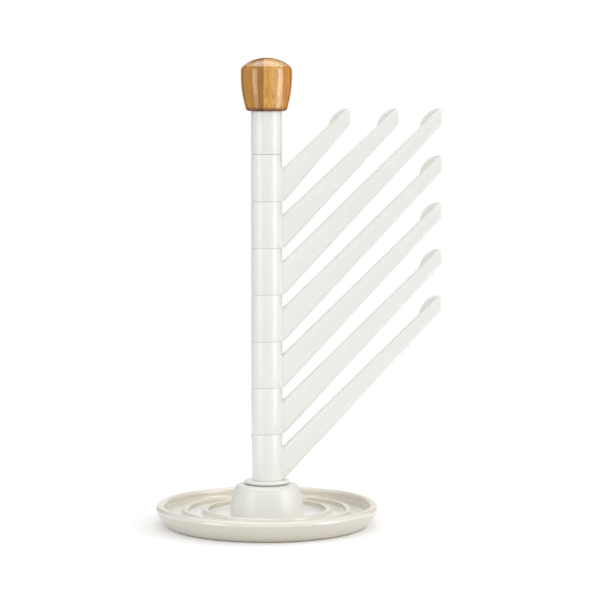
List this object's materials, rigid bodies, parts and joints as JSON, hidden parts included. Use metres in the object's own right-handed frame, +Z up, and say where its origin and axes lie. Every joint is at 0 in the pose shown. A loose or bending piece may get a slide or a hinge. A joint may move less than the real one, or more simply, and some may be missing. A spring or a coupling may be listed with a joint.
{
  "type": "bottle drying rack",
  "caption": "Kitchen rack for draining bottles: slanted arms on stacked rings that swivel round a column, over a round drip tray, with a bamboo knob on top.",
  "frame": {"origin": "centre of the grip ring's underside, on the column's axis, at table level", "axes": "+Z up along the column; +X the way the arms point in the stored position"},
  "size_m": [0.2044, 0.16, 0.3338],
  "materials": {
    "white_plastic": "smooth satin moulded ABS",
    "cream_glaze": "cream-glazed stoneware",
    "bamboo": "laminated bamboo under clear varnish",
    "steel": "plain zinc-plated steel",
    "brass": "turned brass",
    "nylon": "natural nylon",
    "silicone": "soft matt silicone"
  },
  "bodies": {
    "stand": {"grip_ring": "silicone", "drip_tray": "cream_glaze", "pedestal": "white_plastic", "column_foot": "white_plastic", "spindle": "steel", "clamp_washer": "steel", "clamp_nut": "steel", "collar": "white_plastic", "knob_insert": "brass", "knob": "bamboo", "glide_washer_1": "nylon", "glide_washer_2": "nylon", "glide_washer_3": "nylon", "glide_washer_4": "nylon", "glide_washer_5": "nylon", "glide_washer_6": "nylon", "glide_washer_7": "nylon", "glide_washer_8": "nylon"},
    "swivel_1": {"arm_1": "white_plastic"},
    "swivel_2": {"arm_2": "white_plastic"},
    "swivel_3": {"arm_3": "white_plastic"},
    "swivel_4": {"arm_4": "white_plastic"},
    "swivel_5": {"arm_5": "white_plastic"},
    "swivel_6": {"arm_6": "white_plastic"},
    "swivel_7": {"arm_7": "white_plastic"}
  },
  "joints": [
    {"name": "arm_1_swivel", "type": "hinge", "parent": "stand", "child": "swivel_1", "pos_m": [0, 0, 0.24895], "axis": [0, 0, 1], "continuous": true},
    {"name": "arm_2_swivel", "type": "hinge", "parent": "stand", "child": "swivel_2", "pos_m": [0, 0, 0.21575], "axis": [0, 0, 1], "continuous": true},
    {"name": "arm_3_swivel", "type": "hinge", "parent": "stand", "child": "swivel_3", "pos_m": [0, 0, 0.18255], "axis": [0, 0, 1], "continuous": true},
    {"name": "arm_4_swivel", "type": "hinge", "parent": "stand", "child": "swivel_4", "pos_m": [0, 0, 0.14935], "axis": [0, 0, 1], "continuous": true},
    {"name": "arm_5_swivel", "type": "hinge", "parent": "stand", "child": "swivel_5", "pos_m": [0, 0, 0.11615], "axis": [0, 0, 1], "continuous": true},
    {"name": "arm_6_swivel", "type": "hinge", "parent": "stand", "child": "swivel_6", "pos_m": [0, 0, 0.08295], "axis": [0, 0, 1], "continuous": true},
    {"name": "arm_7_swivel", "type": "hinge", "parent": "stand", "child": "swivel_7", "pos_m": [0, 0, 0.04975], "axis": [0, 0, 1], "continuous": true}
  ]
}
